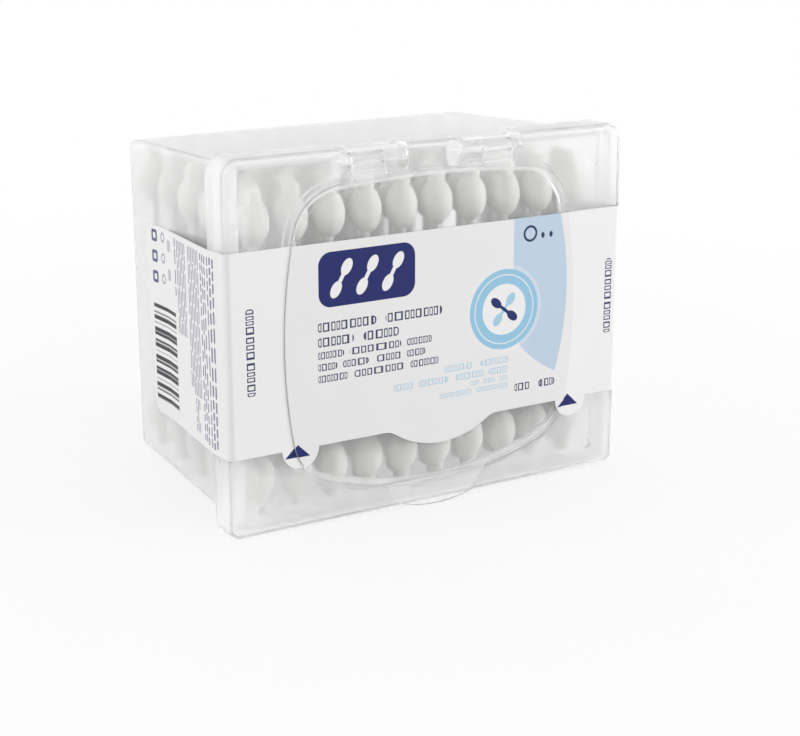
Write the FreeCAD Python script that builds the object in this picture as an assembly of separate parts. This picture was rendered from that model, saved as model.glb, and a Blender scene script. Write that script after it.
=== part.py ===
import FreeCAD, Part
import math
import os

# A cotton swab box: a frosted tray full of upright swabs, a snap-on front cover with a window,
# a clear flip door hinged along the window's upper edge, and a paper label that is cut along the door.
# The box is modelled upright: X to the right, Y to the back from the cover's front face,
# Z up from the cover's lower edge. At the end it is leaned back onto the two edges it stands on.
# All sizes are in millimetres.

# Swabs
swab_length = 72.7
stick_radius = 1.05
stick_end_inset = 2.6          # from a swab's end to the stick's end, inside the cotton
bulb_diameter = 7.2
bulb_middle = 8.2              # from a swab's end to the bulb's widest place
bulb_half_length = 5.2
tip_radius = 1.95
cotton_edge = 0.25             # thickness of the cotton where it runs out on the stick
bulb_gap = 0.05                # least space between two bulbs
pitch_gap = 1.3                # least space between two bulbs of one row
wall_gap = 0.2                 # space between a bulb and a wall beside it
seat_gap = 0.05                # space between a swab's end and the floor under it
head_gap = 0.15                # space over the swabs of the last row
first_row_gap = 2.7            # from the door's back to the bulbs of the first row

# Tray
tray_depth = 53.0              # behind the cover's rear edge
tray_wall = 0.8
tray_step_side = 3.2           # how far the tray lies inside the cover's outline, at the cover's rear edge
tray_step_top = 1.9
tray_draft_side = 2.4          # how much each side comes in from the cover's rear edge to the tray's back
tray_draft_top = 2.0
tray_corner_radius = 1.8
tray_back_radius = 1.4
mouth_gap = 0.1                # between the tray's mouth and the cover's front wall
flange_thickness = 0.9
flange_gap = 0.15              # between the tray's flange and the cover's rim
flange_front = 4.6

# Front cover
cover_width = 102.0
cover_depth = 8.0
cover_wall = 0.9
cover_bottom_radius = 2.2
cover_top_radius = 4.0
cover_edge_radius = 1.3
catch_length = 9.0
catch_height = 0.5
catch_thickness = 0.8
catch_gap = 0.1
catch_from_corner = 16.0
pip_radius = 1.2
pip_length = 1.2
pip_from_side = 7.6
pip_from_top = 8.3
pip_from_bottom = 5.6

# Flip door
door_half_width = 37.7
door_from_top = 6.4            # from the cover's upper edge to the door's crown
door_from_bottom = 5.0         # from the cover's lower edge to the door's lowest place
door_top_radius = 235.0
door_side_radius = 121.0
door_bottom_radius = 83.0
door_corner_radius = 12.0
door_thickness = 0.9
door_gap = 0.5                 # lets the door's inner edge rise as it swings out
rim_height = 0.3
rim_width = 1.6
ledge_width = 1.1              # how far the cover's ledge reaches in behind the door's edge
ledge_gap = 0.2
tab_half_top = 13.8
tab_half_bottom = 9.4
tab_reach = 0.5                # how far the finger tab reaches below the cover's lower edge
tab_side_drop = 1.4            # how much higher the tab's lower corners lie
tab_thickness = 1.05
tab_gap = 0.15
tab_overlap = 1.3              # how far the tab runs up into the door's rim

# Hinge
pivot_from_top = 2.7
pivot_from_front = 2.0
pin_radius = 1.1
bore_gap = 0.05
barrel_radius = 1.5
pin_end_gap = 0.3
bridge_half_width = 7.0
arm_start = 12.5
arm_end = 20.5
arm_slot_gap = 0.4
arm_root = 1.8                 # how far the arms run down into the door below its crown
pocket_half_width = 22.3
pocket_depth = 4.4
pocket_from_top = 5.5
top_recess = 0.6

# Label
label_thickness = 0.12
label_low = 18.2
label_high = 62.7
label_side_length = 51.7       # from the cover's front face to the label's rear edge
label_glued = 12.0             # how much of it lies on the tray
label_fall = 2.8               # degrees that the paper runs downhill on the sides
label_corner_radius = 3.5
label_cut = 0.1                # from the door's edge to the cut in the paper
label_shift = 1.6              # the print and its lower outline sit this far to the right
swell_half_width = 15.0
swell_depth = 4.6
swell_end_radius = 5.0
mark_radius = 4.4
mark_from_middle = 35.9

far = 200.0                    # longer than any piece, for cutting tools
past = 1.0                     # how far a cutting tool runs past a face
tiny = 1e-6                    # for comparing places and directions

os.makedirs("parts", exist_ok=True)


def point(x, y, z):
    return FreeCAD.Vector(x, y, z)


def tray_inset(y, step, draft):
    """How far the tray's outside lies inside the cover's outline at depth y."""
    return step + draft * (y - cover_depth) / tray_depth


def side_inset(y):
    return tray_inset(y, tray_step_side, tray_draft_side)


def top_inset(y):
    return tray_inset(y, tray_step_top, tray_draft_top)


# Places that follow from the sizes above
bulb_radius = bulb_diameter / 2
back_face = cover_depth + tray_depth
mouth = cover_wall + mouth_gap
last_row = back_face - tray_wall - wall_gap - bulb_radius
cover_height = swab_length + seat_gap + head_gap + 2 * (tray_wall + top_inset(last_row))
half_width = cover_width / 2
door_top = cover_height - door_from_top
door_bottom = door_from_bottom
door_middle = (door_top + door_bottom) / 2
pivot_height = cover_height - pivot_from_top
pocket_floor = cover_height - pocket_from_top


def block(x_range, y_range, z_range):
    corner = point(x_range[0], y_range[0], z_range[0])
    return Part.makeBox(x_range[1] - x_range[0], y_range[1] - y_range[0], z_range[1] - z_range[0], corner)


def both_sides(solid):
    """A solid and its mirror image across the box's middle."""
    return solid.fuse(solid.mirror(point(0, 0, 0), point(1, 0, 0)))


def round_rectangle(half, low, high, low_radius, high_radius, y):
    """Closed wire at depth y: a rectangle with round corners, centred on X = 0."""
    edges = []
    centres = [(half - low_radius, low + low_radius, low_radius, -90),
               (half - high_radius, high - high_radius, high_radius, 0),
               (high_radius - half, high - high_radius, high_radius, 90),
               (low_radius - half, low + low_radius, low_radius, 180)]
    ends = []
    for x, z, radius, start in centres:
        spots = []
        for turn in (0, 45, 90):
            angle = math.radians(start + turn)
            spots.append(point(x + radius * math.cos(angle), y, z + radius * math.sin(angle)))
        ends.append(spots)
    for index, spots in enumerate(ends):
        edges.append(Part.Arc(*spots).toShape())
        edges.append(Part.LineSegment(spots[2], ends[(index + 1) % len(ends)][0]).toShape())
    return Part.Wire(edges)


def prism(wire, length):
    return Part.Face(wire).extrude(point(0, length, 0))


def edges_at_depth(solid, y):
    return [edge for edge in solid.Edges if all(abs(v.Point.y - y) < tiny for v in edge.Vertexes)]


def runs_along(edge, direction):
    return abs(edge.tangentAt(edge.FirstParameter).dot(direction)) > 1 - tiny


def outline(points_and_arcs, y, depth):
    """Solid from a closed outline in X and Z. An item is a corner (x, z), or an arc (middle, end)."""
    edges = []
    start = points_and_arcs[0]
    here = point(start[0], y, start[1])
    first = here
    for item in points_and_arcs[1:]:
        if isinstance(item[0], tuple):
            middle = point(item[0][0], y, item[0][1])
            end = point(item[1][0], y, item[1][1])
            edges.append(Part.Arc(here, middle, end).toShape())
        else:
            end = point(item[0], y, item[1])
            edges.append(Part.LineSegment(here, end).toShape())
        here = end
    edges.append(Part.LineSegment(here, first).toShape())
    return prism(Part.Wire(edges), depth)


def door_blank(grow, front, back):
    """The door's barrel-shaped outline, grown or shrunk all round, from one depth to another."""
    discs = [(0, door_top - door_top_radius, door_top_radius),
             (0, door_bottom + door_bottom_radius, door_bottom_radius),
             (door_half_width - door_side_radius, door_middle, door_side_radius),
             (door_side_radius - door_half_width, door_middle, door_side_radius)]
    blank = None
    for x, z, radius in discs:
        disc = Part.makeCylinder(radius + grow, back - front, point(x, front, z), point(0, 1, 0))
        blank = disc if blank is None else blank.common(disc)
    blank = blank.removeSplitter()
    corners = [edge for edge in blank.Edges if runs_along(edge, point(0, 1, 0))]
    return blank.makeFillet(door_corner_radius + grow, corners)


def tray_body(inward, front, back):
    """The tray's tapered form, moved inward by a wall, from one depth to another."""
    sections = []
    for y in (front, back):
        low = top_inset(y) + inward
        half = half_width - side_inset(y) - inward
        radius = tray_corner_radius - inward
        sections.append(round_rectangle(half, low, cover_height - low, radius, radius, y))
    return Part.makeLoft(sections, True, True)


def cover_outline(inward, y):
    """The cover's outline at depth y, moved inward."""
    return round_rectangle(half_width - inward, inward, cover_height - inward,
                           cover_bottom_radius - inward, cover_top_radius - inward, y)


def make_tray():
    outside = tray_body(0, mouth, back_face)
    outside = outside.makeFillet(tray_back_radius, edges_at_depth(outside, back_face))
    inside = tray_body(tray_wall, mouth - past, back_face - tray_wall)
    inside = inside.makeFillet(tray_back_radius - tray_wall, edges_at_depth(inside, back_face - tray_wall))
    edge = cover_wall + flange_gap
    flange = prism(cover_outline(edge, flange_front), flange_thickness)
    recess_side = pocket_half_width + cover_wall + flange_gap
    recess_low = cover_height - top_recess - cover_wall - flange_gap
    under_recess = block((-recess_side, recess_side), (0, cover_depth), (recess_low, far))
    hinge_notch_back = pocket_depth + cover_wall + flange_gap
    hinge_notch = block((-recess_side, recess_side), (0, hinge_notch_back), (cover_height / 2, far))
    tray = outside.fuse(flange.cut(under_recess)).cut(inside)
    return tray.cut(hinge_notch).removeSplitter()


def cover_blank(inward):
    """The cover's outer form, or its hollow when moved inward by the wall, before the hinge pockets."""
    blank = prism(cover_outline(inward, inward), cover_depth)
    return blank.makeFillet(cover_edge_radius - inward, edges_at_depth(blank, inward))


def hinge_room(outward):
    """The recess on top and the two hinge pockets, grown by a wall when cut from the hollow."""
    side = pocket_half_width + outward
    recess = block((-side, side), (-past, cover_depth + 2 * past), (cover_height - top_recess - outward, far))
    bridge = block((outward - bridge_half_width, bridge_half_width - outward), (-past, far), (0, far))
    pocket = block((bridge_half_width - outward, side), (-past, pocket_depth + outward), (pocket_floor - outward, far))
    return recess.cut(bridge).fuse(both_sides(pocket))


def make_catches():
    """Small ribs inside the cover's rim, behind the tray's flange."""
    front = flange_front + flange_thickness + catch_gap
    depth = (front, front + catch_thickness)
    inner = half_width - cover_wall
    start = catch_from_corner
    on_side = block((inner - catch_height, inner + cover_wall / 2), depth, (start, start + catch_length))
    height_up = cover_height - 2 * start - catch_length
    upper = on_side.copy()
    upper.translate(point(0, 0, height_up))
    across = (half_width - start - catch_length, half_width - start)
    below = block(across, depth, (cover_wall / 2, cover_wall + catch_height))
    above = block(across, depth, (cover_height - cover_wall - catch_height, cover_height - cover_wall / 2))
    return both_sides(on_side.fuse([upper, below, above]))


def make_pips():
    pips = []
    for z in (pip_from_bottom, cover_height - pip_from_top):
        start = point(half_width - pip_from_side, cover_wall / 2, z)
        pips.append(Part.makeCylinder(pip_radius, pip_length + cover_wall / 2, start, point(0, 1, 0)))
    return both_sides(pips[0].fuse(pips[1]))


def hinge_rod(radius, start, end):
    """A rod on the hinge's axis, on both sides of the middle."""
    origin = point(start, pivot_from_front, pivot_height)
    return both_sides(Part.makeCylinder(radius, end - start, origin, point(1, 0, 0)))


def make_cover():
    shell = cover_blank(0).cut(hinge_room(0))
    hollow = cover_blank(cover_wall).cut(hinge_room(cover_wall))
    shell = shell.cut(hollow)
    seat_depth = door_thickness + ledge_gap
    ledge = door_blank(door_gap + cover_wall, cover_wall / 2, seat_depth + cover_wall)
    ledge = ledge.cut(door_blank(-ledge_width, 0, far))
    slot = block((arm_start - arm_slot_gap, arm_end + arm_slot_gap),
                 (-past, door_thickness + arm_slot_gap),
                 (pocket_floor - 2 * cover_wall, pocket_floor + past))
    cover = shell.fuse([ledge, make_catches(), make_pips()])
    cover = cover.cut(door_blank(door_gap, -past, seat_depth))
    cover = cover.cut(hinge_room(0)).cut(both_sides(slot))
    bores = hinge_rod(pin_radius + bore_gap, bridge_half_width - cover_wall - past, pocket_half_width + cover_wall + past)
    return cover.cut(bores).removeSplitter()


def make_door():
    plate = door_blank(0, -rim_height, door_thickness)
    plate = plate.cut(door_blank(-rim_width, -past, 0))
    tab_top = door_bottom + tab_overlap
    tab_corner = tab_side_drop - tab_reach
    tab = outline([(-tab_half_top, tab_top), (-tab_half_bottom, tab_corner),
                   ((0, -tab_reach), (tab_half_bottom, tab_corner)), (tab_half_top, tab_top)],
                  -tab_gap - tab_thickness, tab_thickness)
    arm = block((arm_start, arm_end), (0, door_thickness), (door_top - arm_root, pivot_height))
    barrel = hinge_rod(barrel_radius, arm_start, arm_end)
    pins = hinge_rod(pin_radius, bridge_half_width - cover_wall + pin_end_gap,
                     pocket_half_width + cover_wall - pin_end_gap)
    return plate.fuse([tab, both_sides(arm), barrel, pins]).removeSplitter()


def label_outline(front):
    """The label's lower outline on the front: a straight edge with a swell and two round marks."""
    middle = label_shift
    turn = 2 * math.atan(swell_depth / swell_half_width)
    middle_radius = swell_half_width / math.sin(turn) - swell_end_radius
    rows = []
    for angle in (0, turn / 2, turn):
        x = swell_half_width - swell_end_radius * math.sin(angle)
        z = label_low - swell_end_radius * (1 - math.cos(angle))
        rows.append((x, z))
    bottom = label_low - swell_depth
    top = label_low + middle_radius
    swell = outline([(middle - rows[0][0], top), (middle - rows[0][0], rows[0][1]),
                     ((middle - rows[1][0], rows[1][1]), (middle - rows[2][0], rows[2][1])),
                     ((middle, bottom), (middle + rows[2][0], rows[2][1])),
                     ((middle + rows[1][0], rows[1][1]), (middle + rows[0][0], rows[0][1])),
                     (middle + rows[0][0], top)],
                    front, label_thickness)
    shapes = [swell]
    for side in (-1, 1):
        centre = point(middle + side * mark_from_middle, front, label_low)
        shapes.append(Part.makeCylinder(mark_radius, label_thickness, centre, point(0, 1, 0)))
    return shapes


def label_wrap(grow):
    """What the paper is pulled round on the right side, up to its rear edge, grown by a thickness of paper."""
    bend = half_width - cover_edge_radius
    quarter = cover_edge_radius * (1 - math.sqrt(0.5))
    glue_start = label_side_length - label_glued
    rear = label_side_length + past
    floor = label_low - label_side_length * math.sin(math.radians(label_fall))
    curve = Part.Arc(point(bend, 0, floor), point(half_width - quarter, quarter, floor),
                     point(half_width, cover_edge_radius, floor))
    spots = [(half_width, cover_edge_radius), (half_width, cover_depth),
             (half_width - side_inset(glue_start), glue_start), (half_width - side_inset(rear), rear),
             (0, rear), (0, 0), (bend, 0)]
    corners = [point(x, y, floor) for x, y in spots]
    lines = [Part.makeLine(start, end) for start, end in zip(corners, corners[1:])]
    face = Part.Face(Part.Wire([curve.toShape()] + lines))
    if grow > 0:
        face = face.makeOffset2D(grow, 2)
    return face.extrude(point(0, 0, label_high - floor))


def make_side_label(side):
    """The paper from the door's edge round one side, pulled straight over the step onto the tray."""
    trim = block((0, far), (0, label_side_length), (label_low, label_high))
    rear = [edge for edge in edges_at_depth(trim, label_side_length) if runs_along(edge, point(1, 0, 0))]
    trim = trim.makeFillet(label_corner_radius, rear)
    trim.rotate(point(0, 0, label_high), point(1, 0, 0), -label_fall)
    trim = trim.fuse(block((0, far), (-past, 0), (label_low, label_high)))
    band = label_wrap(label_thickness).cut(label_wrap(0)).common(trim)
    if side < 0:
        band = band.mirror(point(0, 0, 0), point(1, 0, 0))
    mark = label_outline(-label_thickness)[1 if side < 0 else 2]
    return band.fuse(mark).cut(door_blank(label_cut, -far, far)).removeSplitter()


def make_door_label():
    """The paper on the door, lying on its raised rim."""
    front = -rim_height - label_thickness
    band = block((-far, far), (front, -rim_height), (label_low, label_high))
    sheet = band.fuse(label_outline(front))
    return sheet.common(door_blank(-label_cut, -far, far)).removeSplitter()


def swab_profile():
    """Half section of the cotton on one end of a swab, as edges in X and Z from the swab's end up."""
    quarter = math.sqrt(0.5)
    top = point(0, 0, 0)
    tip_side = point(tip_radius, 0, tip_radius)
    tip_middle = point(tip_radius * quarter, 0, tip_radius * (1 - quarter))
    low_turn = math.pi - math.asin(tip_radius / bulb_radius)
    high_turn = math.asin((stick_radius + cotton_edge) / bulb_radius)
    bulb_low = point(tip_radius, 0, bulb_middle + bulb_half_length * math.cos(low_turn))
    bulb_high = point(stick_radius + cotton_edge, 0, bulb_middle + bulb_half_length * math.cos(high_turn))
    ellipse = Part.Ellipse(point(0, 0, bulb_middle + bulb_half_length), point(bulb_radius, 0, bulb_middle),
                           point(0, 0, bulb_middle))
    on_stick = point(stick_radius, 0, bulb_high.z)
    stick_corner = point(stick_radius, 0, stick_end_inset)
    stick_middle = point(0, 0, stick_end_inset)
    return [Part.Arc(top, tip_middle, tip_side).toShape(), Part.makeLine(tip_side, bulb_low),
            Part.ArcOfEllipse(ellipse, high_turn, low_turn).toShape(), Part.makeLine(bulb_high, on_stick),
            Part.makeLine(on_stick, stick_corner), Part.makeLine(stick_corner, stick_middle),
            Part.makeLine(stick_middle, top)]


def make_swab():
    """One upright swab standing on Z = 0: its stick and the cotton on its two ends."""
    section = Part.Face(Part.Wire(swab_profile()))
    lower = section.revolve(point(0, 0, 0), point(0, 0, 1), 360)
    upper = lower.mirror(point(0, 0, swab_length / 2), point(0, 0, 1))
    stick = Part.makeCylinder(stick_radius, swab_length - 2 * stick_end_inset, point(0, 0, stick_end_inset))
    return {"sticks": stick, "cotton_upper": upper, "cotton_lower": lower}


def row_depths():
    """Depth of each row: the first by itself behind the door, the others nested and evenly spread."""
    clear = bulb_diameter + bulb_gap
    first = door_thickness + first_row_gap + bulb_radius
    second = first + clear
    nested = math.sqrt(clear ** 2 - ((bulb_diameter + pitch_gap) / 2) ** 2)
    count = max(1, int((last_row - second) / nested))
    spacing = (last_row - second) / count
    return [first] + [second + spacing * index for index in range(count + 1)]


def row_places(row, y):
    """Places across the box in one row: rows behind the first are shifted a quarter pitch by turns."""
    reach = half_width - side_inset(y) - tray_wall - wall_gap - bulb_radius
    count = int(2 * (reach / (bulb_diameter + pitch_gap) - 0.25)) + 1
    pitch = reach / ((count - 1) / 2 + 0.25)
    if row == 0:
        shift = 0
    else:
        shift = pitch / 4 if row % 2 else -pitch / 4
    return [(column - (count - 1) / 2) * pitch + shift for column in range(count)]


def make_swab_rows():
    """Every row's sticks and cotton ends, each as one group of separate solids."""
    rows = {}
    swab = make_swab()
    for row, y in enumerate(row_depths()):
        floor = top_inset(y) + tray_wall + seat_gap
        for name, piece in swab.items():
            copies = []
            for x in row_places(row, y):
                copy = piece.copy()
                copy.translate(point(x, y, floor))
                copies.append(copy)
            rows[f"{name}_row_{row + 1}"] = Part.makeCompound(copies)
    return rows


def lean_angle():
    """The angle at which the cover's lower rear edge and the tray's lower back edge touch one plane."""
    slope = math.atan(tray_draft_top / tray_depth)
    centre_y = back_face - tray_back_radius
    centre_z = top_inset(centre_y) + tray_back_radius / math.cos(slope)
    run = centre_y - cover_depth
    reach = math.hypot(run, centre_z)
    return math.degrees(math.atan2(centre_z, run) - math.asin(tray_back_radius / reach))


pieces = {
    "tray": make_tray(),
    "front_cover": make_cover(),
    "flip_door": make_door(),
    "label_left": make_side_label(-1),
    "label_right": make_side_label(1),
    "label_door": make_door_label(),
}
pieces.update(make_swab_rows())

# The box leans back until both its lower edges stand on Z = 0, with the origin in the middle of its footprint.
for piece in pieces.values():
    piece.rotate(point(0, cover_depth, 0), point(1, 0, 0), -lean_angle())
whole = Part.makeCompound(list(pieces.values())).optimalBoundingBox(False)
for name, piece in pieces.items():
    piece.translate(point(0, -(whole.YMin + whole.YMax) / 2, 0))
    piece.exportStep(f"parts/{name}.step")
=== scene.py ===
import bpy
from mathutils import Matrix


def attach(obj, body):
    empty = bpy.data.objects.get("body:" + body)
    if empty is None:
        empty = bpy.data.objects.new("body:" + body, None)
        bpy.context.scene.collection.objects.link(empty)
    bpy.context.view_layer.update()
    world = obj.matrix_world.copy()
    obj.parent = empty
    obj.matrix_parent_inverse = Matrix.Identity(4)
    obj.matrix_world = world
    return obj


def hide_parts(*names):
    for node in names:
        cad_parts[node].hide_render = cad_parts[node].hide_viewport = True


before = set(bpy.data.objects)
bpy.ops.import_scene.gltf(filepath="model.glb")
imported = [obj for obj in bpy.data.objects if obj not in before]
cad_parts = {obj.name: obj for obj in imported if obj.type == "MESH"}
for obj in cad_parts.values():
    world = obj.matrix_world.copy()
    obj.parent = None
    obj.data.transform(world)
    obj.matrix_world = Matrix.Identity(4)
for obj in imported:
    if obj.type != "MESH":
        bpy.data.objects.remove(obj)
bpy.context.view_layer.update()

import math
import random

import bpy
from mathutils import Matrix, Vector

MM = 0.001

# The box is drawn upright and then leans back onto its two lower edges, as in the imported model.
# Upright, X runs to the right, Y from the cover's front face to the back and Z up from the cover's lower edge.
LEAN = math.radians(4.2607599)
COVER_DEPTH = 8.0
SHIFT_BACK = -32.6728543


def from_upright():
    """Matrix from the upright box in millimetres to the row's frame in metres."""
    lean = Matrix.Translation((0, COVER_DEPTH + SHIFT_BACK, 0)) @ Matrix.Rotation(-LEAN, 4, "X")
    return Matrix.Scale(MM, 4) @ lean @ Matrix.Translation((0, -COVER_DEPTH, 0))


UPRIGHT = from_upright()

# Camera, matched to the photograph
YAW = 0.546890882
PITCH = 0.280427121
ROLL = -0.00215070388
DISTANCE = 382.914799
FOCAL_PIXELS = 1740.42497
TARGET = Vector((-9.16, 0.0, 32.44))


def make_camera():
    back = Vector((-math.sin(YAW) * math.cos(PITCH), -math.cos(YAW) * math.cos(PITCH), math.sin(PITCH)))
    right = (-back).cross(Vector((0, 0, 1))).normalized()
    up = right.cross(-back)
    rolled_right = math.cos(ROLL) * right + math.sin(ROLL) * up
    rolled_up = -math.sin(ROLL) * right + math.cos(ROLL) * up
    place = TARGET + back * DISTANCE
    turn = Matrix((rolled_right, rolled_up, back)).transposed().to_4x4()
    lean = Matrix.Rotation(-LEAN, 4, "X")
    data = bpy.data.cameras.new("camera")
    data.sensor_width = 36.0
    data.lens = FOCAL_PIXELS / 800 * 36.0
    data.clip_start = 0.01
    camera = bpy.data.objects.new("camera", data)
    camera.matrix_world = Matrix.Translation(UPRIGHT @ place) @ lean @ turn
    bpy.context.scene.collection.objects.link(camera)
    bpy.context.scene.camera = camera


# Node building

class Nodes:
    """A material's node tree, with short calls for the nodes it needs."""

    def __init__(self, name):
        self.material = bpy.data.materials.new(name)
        self.material.use_nodes = True
        self.tree = self.material.node_tree
        self.tree.nodes.clear()
        self.output = self.tree.nodes.new("ShaderNodeOutputMaterial")

    def add(self, kind, **settings):
        node = self.tree.nodes.new(kind)
        for key, value in settings.items():
            setattr(node, key, value)
        return node

    def feed(self, value, socket):
        """Links a socket, or writes a constant."""
        if isinstance(value, bpy.types.NodeSocket):
            self.tree.links.new(value, socket)
        else:
            socket.default_value = value

    def calc(self, operation, *values, clamp=False):
        node = self.add("ShaderNodeMath", operation=operation, use_clamp=clamp)
        for value, socket in zip(values, node.inputs):
            self.feed(value, socket)
        return node.outputs[0]

    def vector(self, operation, *values):
        node = self.add("ShaderNodeVectorMath", operation=operation)
        for value, socket in zip(values, node.inputs):
            self.feed(value, socket)
        return node.outputs["Value"] if operation in ("LENGTH", "DISTANCE", "DOT_PRODUCT") else node.outputs[0]

    def blend(self, share, first, second):
        node = self.add("ShaderNodeMix", data_type="RGBA")
        self.feed(share, node.inputs[0])
        self.feed(first, node.inputs[6])
        self.feed(second, node.inputs[7])
        return node.outputs[2]

    def spread(self, value, low, high, start=0.0, end=1.0):
        node = self.add("ShaderNodeMapRange")
        for item, socket in zip((value, start, end, low, high), node.inputs):
            self.feed(item, socket)
        return node.outputs[0]

    def noise(self, place, scale, detail=2.0, roughness=0.5, stretch=None):
        if stretch is not None:
            place = self.vector("MULTIPLY", place, stretch)
        node = self.add("ShaderNodeTexNoise")
        self.feed(place, node.inputs["Vector"])
        self.feed(scale, node.inputs["Scale"])
        self.feed(detail, node.inputs["Detail"])
        self.feed(roughness, node.inputs["Roughness"])
        return node.outputs[0]

    def bump(self, height, strength, distance, before=None):
        node = self.add("ShaderNodeBump")
        self.feed(strength, node.inputs["Strength"])
        self.feed(distance, node.inputs["Distance"])
        self.feed(height, node.inputs["Height"])
        if before is not None:
            self.feed(before, node.inputs["Normal"])
        return node.outputs[0]

    def place(self):
        """The surface's own place in the row's frame, in metres."""
        return self.add("ShaderNodeTexCoord").outputs["Object"]

    def upright(self):
        """The surface's own place on the upright box, in millimetres."""
        millimetres = self.vector("DIVIDE", self.place(), (MM, MM, MM))
        moved = self.vector("SUBTRACT", millimetres, (0, COVER_DEPTH + SHIFT_BACK, 0))
        turn = self.add("ShaderNodeVectorRotate", rotation_type="X_AXIS")
        self.feed(moved, turn.inputs["Vector"])
        turn.inputs["Angle"].default_value = LEAN
        return self.vector("ADD", turn.outputs[0], (0, COVER_DEPTH, 0))

    def finish(self, shader):
        self.tree.links.new(shader, self.output.inputs["Surface"])
        return self.material


def principled(nodes, **values):
    shader = nodes.add("ShaderNodeBsdfPrincipled")
    for name, value in values.items():
        nodes.feed(value, shader.inputs[name.replace("_", " ")])
    return shader


# Plastic

def plastic(name, tint, haze, rough_low, rough_high, milk, grain, glued=None):
    """Thin polypropylene: clear to lamps, soft to the eye, with a fine grain and faint flow marks.

    Between the two heights of glued, paper lies on it, and the plastic there is made milky white: partly the white
    paper behind it, partly painted light over the shaded gap along the label's cut.
    """
    nodes = Nodes(name)
    place = nodes.place()
    cloud = nodes.noise(place, 60.0, 3.0)
    fine = nodes.noise(place, 2600.0, 2.0)
    flow = nodes.noise(place, 160.0, 2.0, stretch=(1.0, 1.0, 0.25))
    colour = nodes.blend(cloud, tint, haze)
    rough = nodes.spread(cloud, rough_low, rough_high, 0.3, 0.7)
    normal = nodes.bump(fine, grain, 0.00004)
    normal = nodes.bump(flow, 0.2, 0.0002, normal)
    shader = principled(nodes, Base_Color=colour, Roughness=rough, Normal=normal)
    shader.inputs["IOR"].default_value = 1.3
    clearness = 1.0 - milk
    if glued is not None:
        parts = nodes.add("ShaderNodeSeparateXYZ")
        nodes.feed(nodes.upright(), parts.inputs[0])
        height = parts.outputs[2]
        # Milky under the label: partly the paper behind it, partly painted light over the shaded gap at the label's
        # cut.
        whitened_under_label = nodes.calc("MULTIPLY", nodes.calc("GREATER_THAN", height, glued[0]),
                             nodes.calc("LESS_THAN", height, glued[1]))
        clearness = nodes.calc("SUBTRACT", clearness, nodes.calc("MULTIPLY", whitened_under_label, 0.8 * (1.0 - milk)))
    nodes.feed(clearness, shader.inputs["Transmission Weight"])
    shader.inputs["Specular IOR Level"].default_value = 0.5
    clear = nodes.add("ShaderNodeBsdfTransparent")
    clear.inputs["Color"].default_value = (0.95, 0.95, 0.95, 1)
    path = nodes.add("ShaderNodeLightPath")
    mix = nodes.add("ShaderNodeMixShader")
    nodes.feed(path.outputs["Is Shadow Ray"], mix.inputs[0])
    nodes.tree.links.new(shader.outputs[0], mix.inputs[1])
    nodes.tree.links.new(clear.outputs[0], mix.inputs[2])
    return nodes.finish(mix.outputs[0])


# Print on the label, drawn from distances in millimetres

SOFT = 0.09
WHITE = (0.82, 0.82, 0.825, 1)
NAVY = (0.006, 0.014, 0.125, 1)
INK = (0.02, 0.026, 0.10, 1)
SKY = (0.50, 0.61, 0.735, 1)
RING = (0.29, 0.535, 0.71, 1)
PALE_TEXT = (0.36, 0.58, 0.72, 1)
GREY_TEXT = (0.20, 0.20, 0.30, 1)
BLACK = (0.02, 0.02, 0.03, 1)


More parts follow.
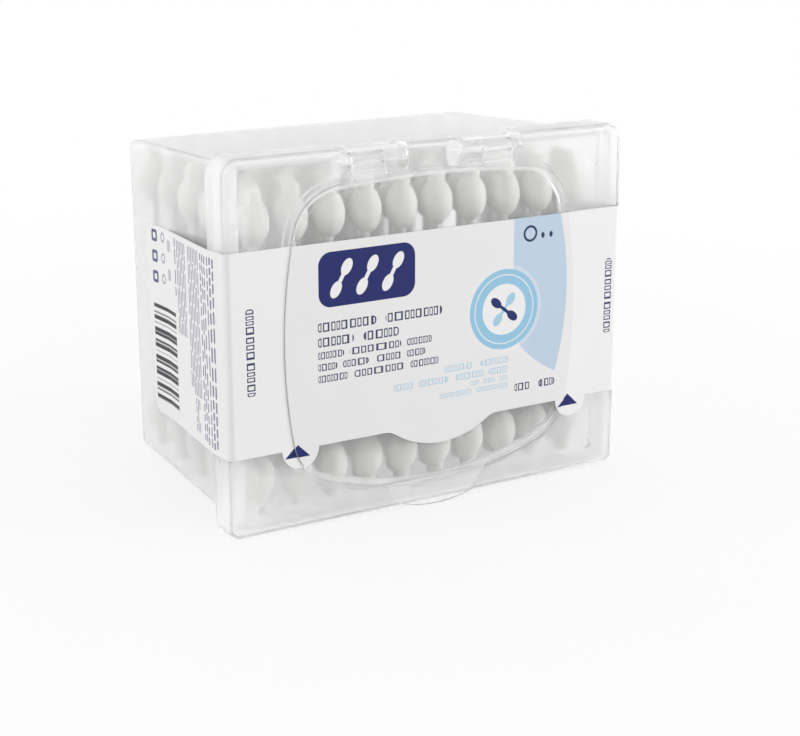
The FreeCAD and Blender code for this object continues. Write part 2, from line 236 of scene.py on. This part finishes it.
class Drawing:
    """Shapes as distances: below 0 is inside."""

    def __init__(self, nodes, across, up):
        self.nodes = nodes
        self.across = across
        self.up = up

    def both(self, *shapes):
        result = shapes[0]
        for shape in shapes[1:]:
            result = self.nodes.calc("MAXIMUM", result, shape)
        return result

    def either(self, *shapes):
        result = shapes[0]
        for shape in shapes[1:]:
            result = self.nodes.calc("MINIMUM", result, shape)
        return result

    def outside(self, shape):
        return self.nodes.calc("MULTIPLY", shape, -1.0)

    def from_middle(self, value, middle, half):
        offset = self.nodes.calc("ABSOLUTE", self.nodes.calc("SUBTRACT", value, middle))
        return self.nodes.calc("SUBTRACT", offset, half)

    def rectangle(self, left, right, low, high):
        return self.both(self.from_middle(self.across, (left + right) / 2, (right - left) / 2),
                         self.from_middle(self.up, (low + high) / 2, (high - low) / 2))

    def rounded(self, left, right, low, high, radius):
        """A rectangle with round corners."""
        sides = []
        for value, start, end in ((self.across, left, right), (self.up, low, high)):
            inner = self.from_middle(value, (start + end) / 2, (end - start) / 2 - radius)
            sides.append(self.nodes.calc("MAXIMUM", inner, 0.0))
        return self.corner(sides, radius)

    def corner(self, sides, radius):
        squares = [self.nodes.calc("MULTIPLY", side, side) for side in sides]
        reach = self.nodes.calc("SQRT", self.nodes.calc("ADD", *squares))
        return self.nodes.calc("SUBTRACT", reach, radius)

    def disc(self, x, z, radius, squash=1.0):
        aside = self.nodes.calc("SUBTRACT", self.across, x)
        above = self.nodes.calc("DIVIDE", self.nodes.calc("SUBTRACT", self.up, z), squash)
        return self.corner([aside, above], radius)

    def half(self, x, z, angle):
        """Everything on the left of a line through a point, walking along it at an angle in degrees."""
        turn = math.radians(angle)
        aside = self.nodes.calc("MULTIPLY", self.nodes.calc("SUBTRACT", self.across, x), math.sin(turn))
        above = self.nodes.calc("MULTIPLY", self.nodes.calc("SUBTRACT", self.up, z), -math.cos(turn))
        return self.nodes.calc("ADD", aside, above)

    def triangle(self, left, right, low, high):
        middle = (left + right) / 2
        slope = math.degrees(math.atan2(high - low, middle - left))
        return self.both(self.half(left, low, 0), self.half(middle, high, 180 + slope),
                         self.half(middle, high, 180 - slope))

    def words(self, left, right, low, high, count, uneven=0.0, strokes=False):
        """A line of print as a row of round-ended bars, each as long as a word and cut into short strokes."""
        gap = (high - low) * 0.95
        step = (right - left + gap) / count
        calc = self.nodes.calc
        run = calc("SUBTRACT", self.across, left)
        wave = calc("MULTIPLY", calc("SINE", calc("MULTIPLY", run, 2 * math.pi / (right - left))), uneven)
        run = calc("ADD", run, wave)
        within = calc("SUBTRACT", calc("FLOORED_MODULO", run, step), (step - gap) / 2)
        radius = (high - low) * 0.42
        length = calc("SUBTRACT", calc("ABSOLUTE", within), (step - gap) / 2 - radius)
        height = self.from_middle(self.up, (low + high) / 2, (high - low) / 2 - radius)
        bars = self.corner([calc("MAXIMUM", length, 0.0), calc("MAXIMUM", height, 0.0)], radius)
        line = self.both(bars, self.from_middle(self.across, (left + right) / 2, (right - left) / 2))
        if not strokes:
            return line
        stroke = (high - low) * 0.85
        uneven_run = calc("ADD", run, calc("MULTIPLY", calc("SINE", calc("MULTIPLY", run, 1.9 / stroke)), stroke * 0.2))
        cell = calc("SUBTRACT", calc("FLOORED_MODULO", uneven_run, stroke), stroke / 2)
        letters = self.both(line, calc("SUBTRACT", calc("ABSOLUTE", cell), stroke * 0.38))
        inner = calc("ADD", letters, (high - low) * 0.15)
        return self.both(letters, self.outside(inner))

    def paint(self, colour, shape, ink, strength=1.0):
        """Lays ink over a colour inside a shape."""
        share = self.nodes.calc("SUBTRACT", 0.5, self.nodes.calc("DIVIDE", shape, SOFT), clamp=True)
        if strength < 1.0:
            share = self.nodes.calc("MULTIPLY", share, strength)
        return self.nodes.blend(share, colour, ink)


def swab_sign(draw, x, z, length, thick, angle):
    """A plain swab as a sign: a bar between two round ends."""
    turn = math.radians(angle)
    calc = draw.nodes.calc
    aside = calc("SUBTRACT", draw.across, x)
    above = calc("SUBTRACT", draw.up, z)
    along = calc("ADD", calc("MULTIPLY", aside, math.cos(turn)), calc("MULTIPLY", above, math.sin(turn)))
    cross = calc("SUBTRACT", calc("MULTIPLY", above, math.cos(turn)), calc("MULTIPLY", aside, math.sin(turn)))
    bar = draw.both(draw.from_middle(along, 0.0, length / 2), draw.from_middle(cross, 0.0, thick / 2))
    end = calc("SUBTRACT", calc("ABSOLUTE", along), length / 2)
    long_end = calc("MULTIPLY", end, 0.62)
    return draw.either(bar, draw.corner([long_end, cross], thick * 1.35))


def front_print(nodes, x, z, colour):
    draw = Drawing(nodes, x, z)
    band = draw.both(draw.rectangle(20.6, 36.2, 24.9, 64.0), draw.disc(-33.6, 45.6, 69.2),
                     draw.disc(44.5, 51.7, 28.6))
    colour = draw.paint(colour, band, SKY)
    colour = draw.paint(colour, draw.disc(18.2, 42.2, 10.2), WHITE, 0.35)
    colour = draw.paint(colour, draw.disc(18.2, 42.2, 9.3), RING)
    thin_ring = draw.both(draw.disc(18.2, 42.2, 8.1), draw.outside(draw.disc(18.2, 42.2, 7.8)))
    colour = draw.paint(colour, thin_ring, WHITE, 0.8)
    colour = draw.paint(colour, draw.disc(18.2, 42.2, 5.9), WHITE)
    colour = draw.paint(colour, swab_sign(draw, 18.2, 42.2, 5.6, 0.75, 52), PALE_TEXT)
    colour = draw.paint(colour, swab_sign(draw, 18.2, 42.2, 5.6, 0.75, -38), NAVY)
    colour = draw.paint(colour, draw.rounded(-29.5, -5.5, 48.6, 60.6, 3.0), NAVY)
    for offset in (-6.4, 0.0, 6.4):
        colour = draw.paint(colour, swab_sign(draw, -17.5 + offset, 54.6, 5.4, 0.9, 60), WHITE)
    for middle, thick, right, count, uneven in ((44.4, 2.0, 1.5, 2, 0.9), (41.1, 2.0, -9.7, 2, 0.7),
                                                (38.2, 1.55, -1.2, 3, 2.2), (35.6, 1.55, -2.9, 4, 1.0),
                                                (33.0, 1.55, 0.7, 3, 1.8)):
        line = draw.words(-29.9, right, middle - thick / 2, middle + thick / 2, count, uneven, True)
        colour = draw.paint(colour, line, INK)
    for middle, thick, left, count, uneven in ((30.4, 1.5, 2.2, 2, 0.9), (28.1, 1.5, -11.1, 4, 1.4),
                                               (26.1, 1.1, 9.2, 3, 0.4), (24.3, 1.1, 0.9, 2, 0.5)):
        line = draw.words(left, 19.5, middle - thick / 2, middle + thick / 2, count, uneven, True)
        colour = draw.paint(colour, line, PALE_TEXT, 0.85)
    colour = draw.paint(colour, draw.words(21.3, 32.7, 22.3, 24.1, 2, 0.5, True), INK)
    sign = draw.both(draw.disc(25.1, 58.9, 1.9), draw.outside(draw.disc(25.1, 58.9, 1.35)))
    colour = draw.paint(colour, sign, INK)
    colour = draw.paint(colour, draw.words(28.1, 31.3, 57.5, 58.9, 2), INK)
    for left in (-38.1, 33.8):
        colour = draw.paint(colour, draw.triangle(left, left + 6.0, 16.4, 19.3), NAVY)
    side = Drawing(nodes, z, x)
    colour = side.paint(colour, side.words(31.6, 50.6, -46.6, -44.7, 1, 0.6, True), INK)
    colour = side.paint(colour, side.words(32.5, 50.5, 46.9, 48.8, 1, 0.6, True), INK)
    return colour


def side_print(nodes, x, y, z, colour):
    """The left side's columns of small print, signs and stripes. The paper runs downhill, and so does its print."""
    calc = nodes.calc
    level = calc("ADD", z, calc("MULTIPLY", y, math.tan(math.radians(2.8))))
    draw = Drawing(nodes, level, y)
    on_side = calc("LESS_THAN", x, 0.0)
    result = colour
    bold = ((5.2, 5.9, 19.6, 61.0, 13, 1.8), (6.6, 7.3, 19.2, 61.2, 15, 2.4), (8.0, 8.7, 19.4, 61.2, 12, 2.8),
            (10.0, 10.7, 19.4, 61.0, 14, 2.0), (11.4, 12.1, 19.8, 61.2, 13, 2.6), (12.8, 13.5, 19.8, 61.2, 16, 1.6),
            (32.0, 32.7, 48.6, 61.8, 4, 0.9))
    for front, rear, low, high, count, uneven in bold:
        result = draw.paint(result, draw.words(low, high, front, rear, count, uneven), GREY_TEXT)
    small = [(14.9 + 1.15 * row, 28.6 if row < 5 else 30.0, 61.5) for row in range(7)]
    small += [(24.6 + 1.15 * row, 40.4, 61.5) for row in range(6)]
    small += [(16.6 + 1.15 * row, 20.6, 28.0) for row in range(3)]
    for row, (front, low, high) in enumerate(small):
        count = max(1, round((high - low) / 5.4)) + row % 2
        line = draw.words(low, high, front, front + 0.55, count, 0.9 + 0.4 * (row % 4))
        result = draw.paint(result, line, GREY_TEXT, 0.9)
    stripes = calc("ADD", calc("MULTIPLY", calc("SINE", calc("MULTIPLY", level, 4.7)), 0.5),
                   calc("MULTIPLY", calc("SINE", calc("ADD", calc("MULTIPLY", level, 1.93), 0.6)), 0.55))
    stripes = calc("MULTIPLY", calc("SUBTRACT", stripes, 0.02), 0.2)
    result = draw.paint(result, draw.both(draw.rectangle(21.6, 44.4, 33.2, 48.4), stripes), BLACK)
    for low in (49.4, 54.2, 59.0):
        result = draw.paint(result, draw.rounded(low, low + 2.8, 44.8, 48.2, 0.7), NAVY, 0.9)
        result = draw.paint(result, draw.rounded(low + 0.7, low + 2.1, 45.7, 47.3, 0.4), WHITE)
    for low in (50.0, 54.8, 59.6):
        result = draw.paint(result, draw.disc(low + 0.9, 41.4, 1.2), GREY_TEXT, 0.7)
        result = draw.paint(result, draw.disc(low + 0.9, 41.4, 0.7), WHITE)
    for low in (51.2, 57.8):
        result = draw.paint(result, draw.rounded(low, low + 2.6, 36.0, 38.4, 0.5), GREY_TEXT, 0.5)
    return nodes.blend(on_side, colour, result)


def label_paper():
    """Printed paper. The part on the door is painted a little darker: painted shade for the shaded inside that shows
    through it over the clear plate.
    """
    nodes = Nodes("label_paper")
    parts = nodes.add("ShaderNodeSeparateXYZ")
    nodes.feed(nodes.upright(), parts.inputs[0])
    x, y, z = parts.outputs
    place = nodes.place()
    cloud = nodes.noise(place, 90.0, 4.0)
    fibre = nodes.noise(place, 1800.0, 3.0)
    on_case = nodes.blend(cloud, (0.825, 0.82, 0.82, 1), (0.85, 0.85, 0.85, 1))
    # The same paper on the door, painted darker as painted shade for the shaded inside behind the clear plate.
    door_paper_painted_shade = nodes.blend(cloud, (0.775, 0.77, 0.773, 1), (0.80, 0.797, 0.80, 1))
    paper = nodes.blend(nodes.calc("LESS_THAN", y, -0.2), on_case, door_paper_painted_shade)
    on_front = nodes.calc("LESS_THAN", y, 2.0)
    colour = nodes.blend(on_front, side_print(nodes, x, y, z, paper), front_print(nodes, x, z, paper))
    rough = nodes.spread(fibre, 0.42, 0.56, 0.3, 0.7)
    wave = nodes.noise(place, 45.0, 1.0)
    normal = nodes.bump(fibre, 0.15, 0.00003)
    normal = nodes.bump(wave, 0.2, 0.0005, normal)
    shader = principled(nodes, Base_Color=colour, Roughness=rough, Normal=normal)
    shader.inputs["Specular IOR Level"].default_value = 0.3
    return nodes.finish(shader.outputs[0])


# Swabs

def stick_paper():
    nodes = Nodes("stick_paper")
    place = nodes.place()
    grain = nodes.noise(place, 1500.0, 3.0, stretch=(1.0, 1.0, 0.18))
    cloud = nodes.noise(place, 120.0, 2.0)
    colour = nodes.blend(cloud, (0.80, 0.80, 0.78, 1), (0.87, 0.87, 0.86, 1))
    rough = nodes.spread(grain, 0.55, 0.75, 0.3, 0.7)
    shader = principled(nodes, Base_Color=colour, Roughness=rough, Normal=nodes.bump(grain, 0.3, 0.00004))
    return nodes.finish(shader.outputs[0])


def cotton():
    """Wound cotton: fine threads round the bulb, with a loose haze."""
    nodes = Nodes("cotton")
    place = nodes.place()
    warp = nodes.noise(place, 350.0, 2.0)
    tilt = nodes.vector("ADD", place, nodes.vector("MULTIPLY", warp, (0.0, 0.0, 0.0012)))
    thread = nodes.noise(tilt, 1400.0, 4.0, 0.6, stretch=(0.35, 0.35, 2.4))
    fluff = nodes.noise(place, 3200.0, 3.0, 0.7)
    cloud = nodes.noise(place, 260.0, 3.0)
    colour = nodes.blend(cloud, (0.63, 0.625, 0.61, 1), (0.73, 0.727, 0.715, 1))
    colour = nodes.blend(nodes.spread(thread, 0.0, 0.3, 0.55, 0.35), colour, (0.52, 0.515, 0.50, 1))
    rough = nodes.spread(fluff, 0.8, 0.95, 0.3, 0.7)
    normal = nodes.bump(thread, 0.5, 0.00018)
    normal = nodes.bump(fluff, 0.3, 0.00008, normal)
    shader = principled(nodes, Base_Color=colour, Roughness=rough, Normal=normal)
    shader.inputs["Sheen Weight"].default_value = 0.25
    shader.inputs["Sheen Roughness"].default_value = 0.5
    return nodes.finish(shader.outputs[0])


# One cotton end in millimetres: a round tip, then an oval bulb that runs out on the stick
BULB_RADIUS = 3.6
BULB_MIDDLE = 8.2
BULB_HALF_LENGTH = 5.2
TIP_RADIUS = 1.95
EDGE_RADIUS = 1.3
TIP_STEPS = 7
BULB_STEPS = 24
AROUND = 36
LEAST_SPACE = 1.0


def profile_points():
    """The cotton's outline as distances from the swab's end and radii."""
    points = []
    for step in range(1, TIP_STEPS + 1):
        angle = math.pi / 2 * step / TIP_STEPS
        points.append((TIP_RADIUS * (1 - math.cos(angle)), TIP_RADIUS * math.sin(angle)))
    start = math.pi - math.asin(TIP_RADIUS / BULB_RADIUS)
    end = math.asin(EDGE_RADIUS / BULB_RADIUS)
    bulb_start = BULB_MIDDLE + BULB_HALF_LENGTH * math.cos(start)
    for share in (0.3, 0.6, 0.85):
        points.append((TIP_RADIUS + (bulb_start - TIP_RADIUS) * share, TIP_RADIUS - 0.05))
    for step in range(BULB_STEPS + 1):
        angle = start + (end - start) * step / BULB_STEPS
        points.append((BULB_MIDDLE + BULB_HALF_LENGTH * math.cos(angle), BULB_RADIUS * math.sin(angle)))
    return points


PROFILE = profile_points()


def bulb_points(foot, inward, side, chance):
    """Vertices of one wound cotton end: foot is the swab's end, inward points along the stick."""
    other = inward.cross(side)
    size = chance.uniform(0.97, 0.99)
    turn = chance.uniform(0, 2 * math.pi)
    lobes = chance.choice((3, 4, 5))
    soft = chance.uniform(0.02, 0.05)
    points = []
    for depth, radius in PROFILE:
        fade = min(1.0, radius / 2.0)
        for step in range(AROUND):
            angle = 2 * math.pi * step / AROUND
            wound = 0.035 * math.sin(9 * depth + angle + turn) + 0.02 * math.sin(15 * depth - 2 * angle + turn)
            uneven = soft * math.sin(lobes * angle + turn + depth * 0.5)
            reach = (radius * size + (wound + uneven) * fade) * MM
            points.append(foot + inward * (depth * MM)
                          + side * (reach * math.cos(angle)) + other * (reach * math.sin(angle)))
    points.append(foot)
    points.append(foot + inward * (PROFILE[-1][0] * MM))
    return points


def bulb_faces(first):
    """Faces of one cotton end whose vertices start at a number."""
    faces = []
    last_ring = len(PROFILE) - 1
    end = first + len(PROFILE) * AROUND
    for step in range(AROUND):
        after = (step + 1) % AROUND
        for ring in range(last_ring):
            start = first + ring * AROUND
            faces.append((start + step, start + after, start + AROUND + after, start + AROUND + step))
        rear = first + last_ring * AROUND
        faces.append((first + after, first + step, end))
        faces.append((rear + step, rear + after, end + 1))
    return faces


def split_row(mesh):
    """Vertex places of each solid in a row, from left to right. Free space parts one solid from the next."""
    spots = sorted((vertex.co.copy() for vertex in mesh.vertices), key=lambda spot: spot.x)
    solids = [[spots[0]]]
    for before, spot in zip(spots, spots[1:]):
        if spot.x - before.x > LEAST_SPACE * MM:
            solids.append([])
        solids[-1].append(spot)
    return solids


def make_cotton_row(node, material, seed):
    """Wound cotton in place of one row of plain cotton solids."""
    chance = random.Random(seed)
    axis = (UPRIGHT.to_3x3() @ Vector((0, 0, 1))).normalized()
    upper = "upper" in node
    side = Vector((1, 0, 0))
    points = []
    faces = []
    for spots in split_row(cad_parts[node].data):
        heights = [spot.dot(axis) for spot in spots]
        end = max(heights) if upper else min(heights)
        low = Vector([min(spot[k] for spot in spots) for k in range(3)])
        high = Vector([max(spot[k] for spot in spots) for k in range(3)])
        middle = (low + high) / 2
        foot = middle + axis * (end - middle.dot(axis))
        faces += bulb_faces(len(points))
        points += bulb_points(foot, -axis if upper else axis, side, chance)
    data = bpy.data.meshes.new(f"wound_{node}")
    data.from_pydata(points, [], faces)
    for polygon in data.polygons:
        polygon.use_smooth = True
    piece = bpy.data.objects.new(f"wound_{node}", data)
    bpy.context.scene.collection.objects.link(piece)
    data.materials.append(material)
    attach(piece, "case")
    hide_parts(node)


# Floor, world and lamps

def stage_material():
    """Pale floor that runs out to white away from the box, and keeps the box's shadow."""
    nodes = Nodes("floor_paper")
    place = nodes.place()
    cloud = nodes.noise(place, 30.0, 3.0)
    colour = nodes.blend(cloud, (0.86, 0.86, 0.865, 1), (0.9, 0.9, 0.905, 1))
    diffuse = nodes.add("ShaderNodeBsdfDiffuse")
    nodes.feed(colour, diffuse.inputs["Color"])
    glow = nodes.add("ShaderNodeEmission")
    glow.inputs["Strength"].default_value = 1.0
    far = nodes.spread(nodes.vector("LENGTH", place), 0.78, 1.0, 0.05, 0.25)
    path = nodes.add("ShaderNodeLightPath")
    seen = nodes.calc("MAXIMUM", path.outputs["Is Camera Ray"], path.outputs["Is Transmission Ray"])
    seen = nodes.calc("MAXIMUM", seen, path.outputs["Is Glossy Ray"])
    share = nodes.calc("MULTIPLY", far, seen)
    mix = nodes.add("ShaderNodeMixShader")
    nodes.feed(share, mix.inputs[0])
    nodes.tree.links.new(diffuse.outputs[0], mix.inputs[1])
    nodes.tree.links.new(glow.outputs[0], mix.inputs[2])
    return nodes.finish(mix.outputs[0])


def make_stage():
    data = bpy.data.meshes.new("floor")
    reach = 3.0
    data.from_pydata([(-reach, -reach, 0), (reach, -reach, 0), (reach, reach, 0), (-reach, reach, 0)], [], [(0, 1, 2, 3)])
    floor = bpy.data.objects.new("floor", data)
    data.materials.append(stage_material())
    bpy.context.scene.collection.objects.link(floor)


def make_world(left, right):
    """Soft white light, weaker from the left, and a white background."""
    world = bpy.data.worlds.new("studio")
    world.use_nodes = True
    tree = world.node_tree
    tree.nodes.clear()
    output = tree.nodes.new("ShaderNodeOutputWorld")
    soft = tree.nodes.new("ShaderNodeBackground")
    soft.inputs["Color"].default_value = (1.0, 0.998, 0.995, 1)
    sky = tree.nodes.new("ShaderNodeTexCoord")
    parts = tree.nodes.new("ShaderNodeSeparateXYZ")
    strength = tree.nodes.new("ShaderNodeMapRange")
    strength.inputs["From Min"].default_value = -1.0
    strength.inputs["To Min"].default_value = left
    strength.inputs["To Max"].default_value = right
    tree.links.new(sky.outputs["Generated"], parts.inputs[0])
    tree.links.new(parts.outputs["X"], strength.inputs["Value"])
    tree.links.new(strength.outputs[0], soft.inputs["Strength"])
    white = tree.nodes.new("ShaderNodeBackground")
    white.inputs["Color"].default_value = (1, 1, 1, 1)
    path = tree.nodes.new("ShaderNodeLightPath")
    larger = tree.nodes.new("ShaderNodeMath")
    larger.operation = "MAXIMUM"
    largest = tree.nodes.new("ShaderNodeMath")
    largest.operation = "MAXIMUM"
    mix = tree.nodes.new("ShaderNodeMixShader")
    tree.links.new(path.outputs["Is Camera Ray"], larger.inputs[0])
    tree.links.new(path.outputs["Is Transmission Ray"], larger.inputs[1])
    tree.links.new(larger.outputs[0], largest.inputs[0])
    tree.links.new(path.outputs["Is Glossy Ray"], largest.inputs[1])
    tree.links.new(largest.outputs[0], mix.inputs[0])
    tree.links.new(soft.outputs[0], mix.inputs[1])
    tree.links.new(white.outputs[0], mix.inputs[2])
    tree.links.new(mix.outputs[0], output.inputs["Surface"])
    bpy.context.scene.world = world


def make_lamp(name, place, size, power, aim=(0, 0, 0.04)):
    data = bpy.data.lights.new(name, "AREA")
    data.shape = "DISK"
    data.size = size
    data.energy = power
    lamp = bpy.data.objects.new(name, data)
    lamp.location = place
    lamp.rotation_euler = (Vector(aim) - Vector(place)).to_track_quat("-Z", "Y").to_euler()
    bpy.context.scene.collection.objects.link(lamp)


def dress(node, material):
    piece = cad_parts[node]
    if not piece.material_slots:
        piece.data.materials.append(None)
    for slot in piece.material_slots:
        slot.material = material


make_camera()
make_stage()
make_world(0.68, 0.95)
make_lamp("key", (1.0, -0.48, 0.2), 0.3, 5.2)
make_lamp("left", (-0.95, 0.3, 0.3), 0.4, 2.4)

tray_plastic = plastic("tray_plastic", (0.97, 0.97, 0.968, 1), (0.95, 0.95, 0.95, 1), 0.07, 0.12, 0.28, 0.06)
cover_plastic = plastic("cover_plastic", (0.96, 0.96, 0.958, 1), (0.94, 0.94, 0.94, 1), 0.17, 0.24, 0.26, 0.25)
clear_plastic = plastic("clear_plastic", (0.975, 0.975, 0.973, 1), (0.955, 0.955, 0.955, 1), 0.12, 0.17, 0.14, 0.12,
                        glued=(18.4, 62.5))
paper = label_paper()
stick = stick_paper()
wound = cotton()
dress("tray", tray_plastic)
dress("front_cover", cover_plastic)
dress("flip_door", clear_plastic)
for node in ("label_left", "label_right", "label_door"):
    dress(node, paper)
for number in range(1, 10):
    dress(f"sticks_row_{number}", stick)
    for end in ("upper", "lower"):
        make_cotton_row(f"cotton_{end}_row_{number}", wound, number * 10 + len(end))

bpy.context.scene.view_settings.view_transform = "Standard"
